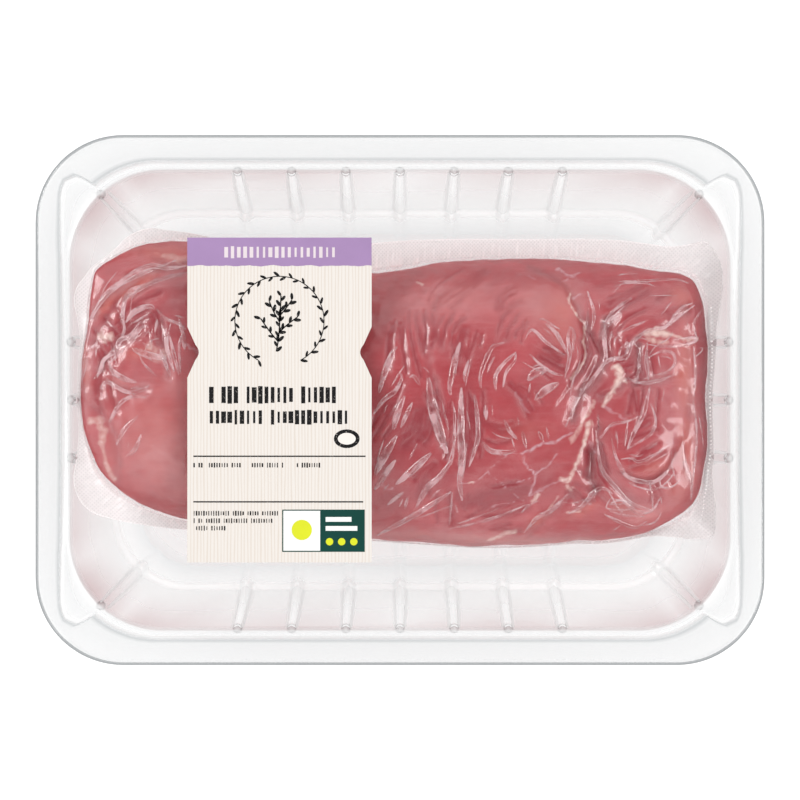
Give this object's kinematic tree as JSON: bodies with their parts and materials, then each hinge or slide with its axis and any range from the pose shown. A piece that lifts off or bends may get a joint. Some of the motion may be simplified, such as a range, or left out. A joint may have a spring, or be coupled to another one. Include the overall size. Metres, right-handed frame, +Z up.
{
  "type": "packed raw pork tenderloin",
  "caption": "Raw pork tenderloin, vacuum-packed in a wrinkled clear pouch, in a shallow ribbed clear tray sealed with clear lidding film and a paper label.",
  "frame": {"origin": "on the surface that the tray stands on, below the middle of the tray", "axes": "+X along the tray's long sides, towards the end with the folded lobes; +Y across the tray; +Z up, out of the tray's lid"},
  "size_m": [0.187, 0.136, 0.0405],
  "materials": {
    "clear_tray": "clear thermoformed PET, glossy",
    "raw_pork": "moist raw pork, semi-gloss",
    "pouch_film": "clear embossed vacuum pouch film, glossy",
    "lid_film": "clear lidding film, glossy",
    "label_paper": "coated label paper, printed, satin"
  },
  "bodies": {
    "root": {"tray": "clear_tray", "tenderloin_in_pouch": "raw_pork", "lid_film": "lid_film", "label": "label_paper"}
  },
  "joints": []
}
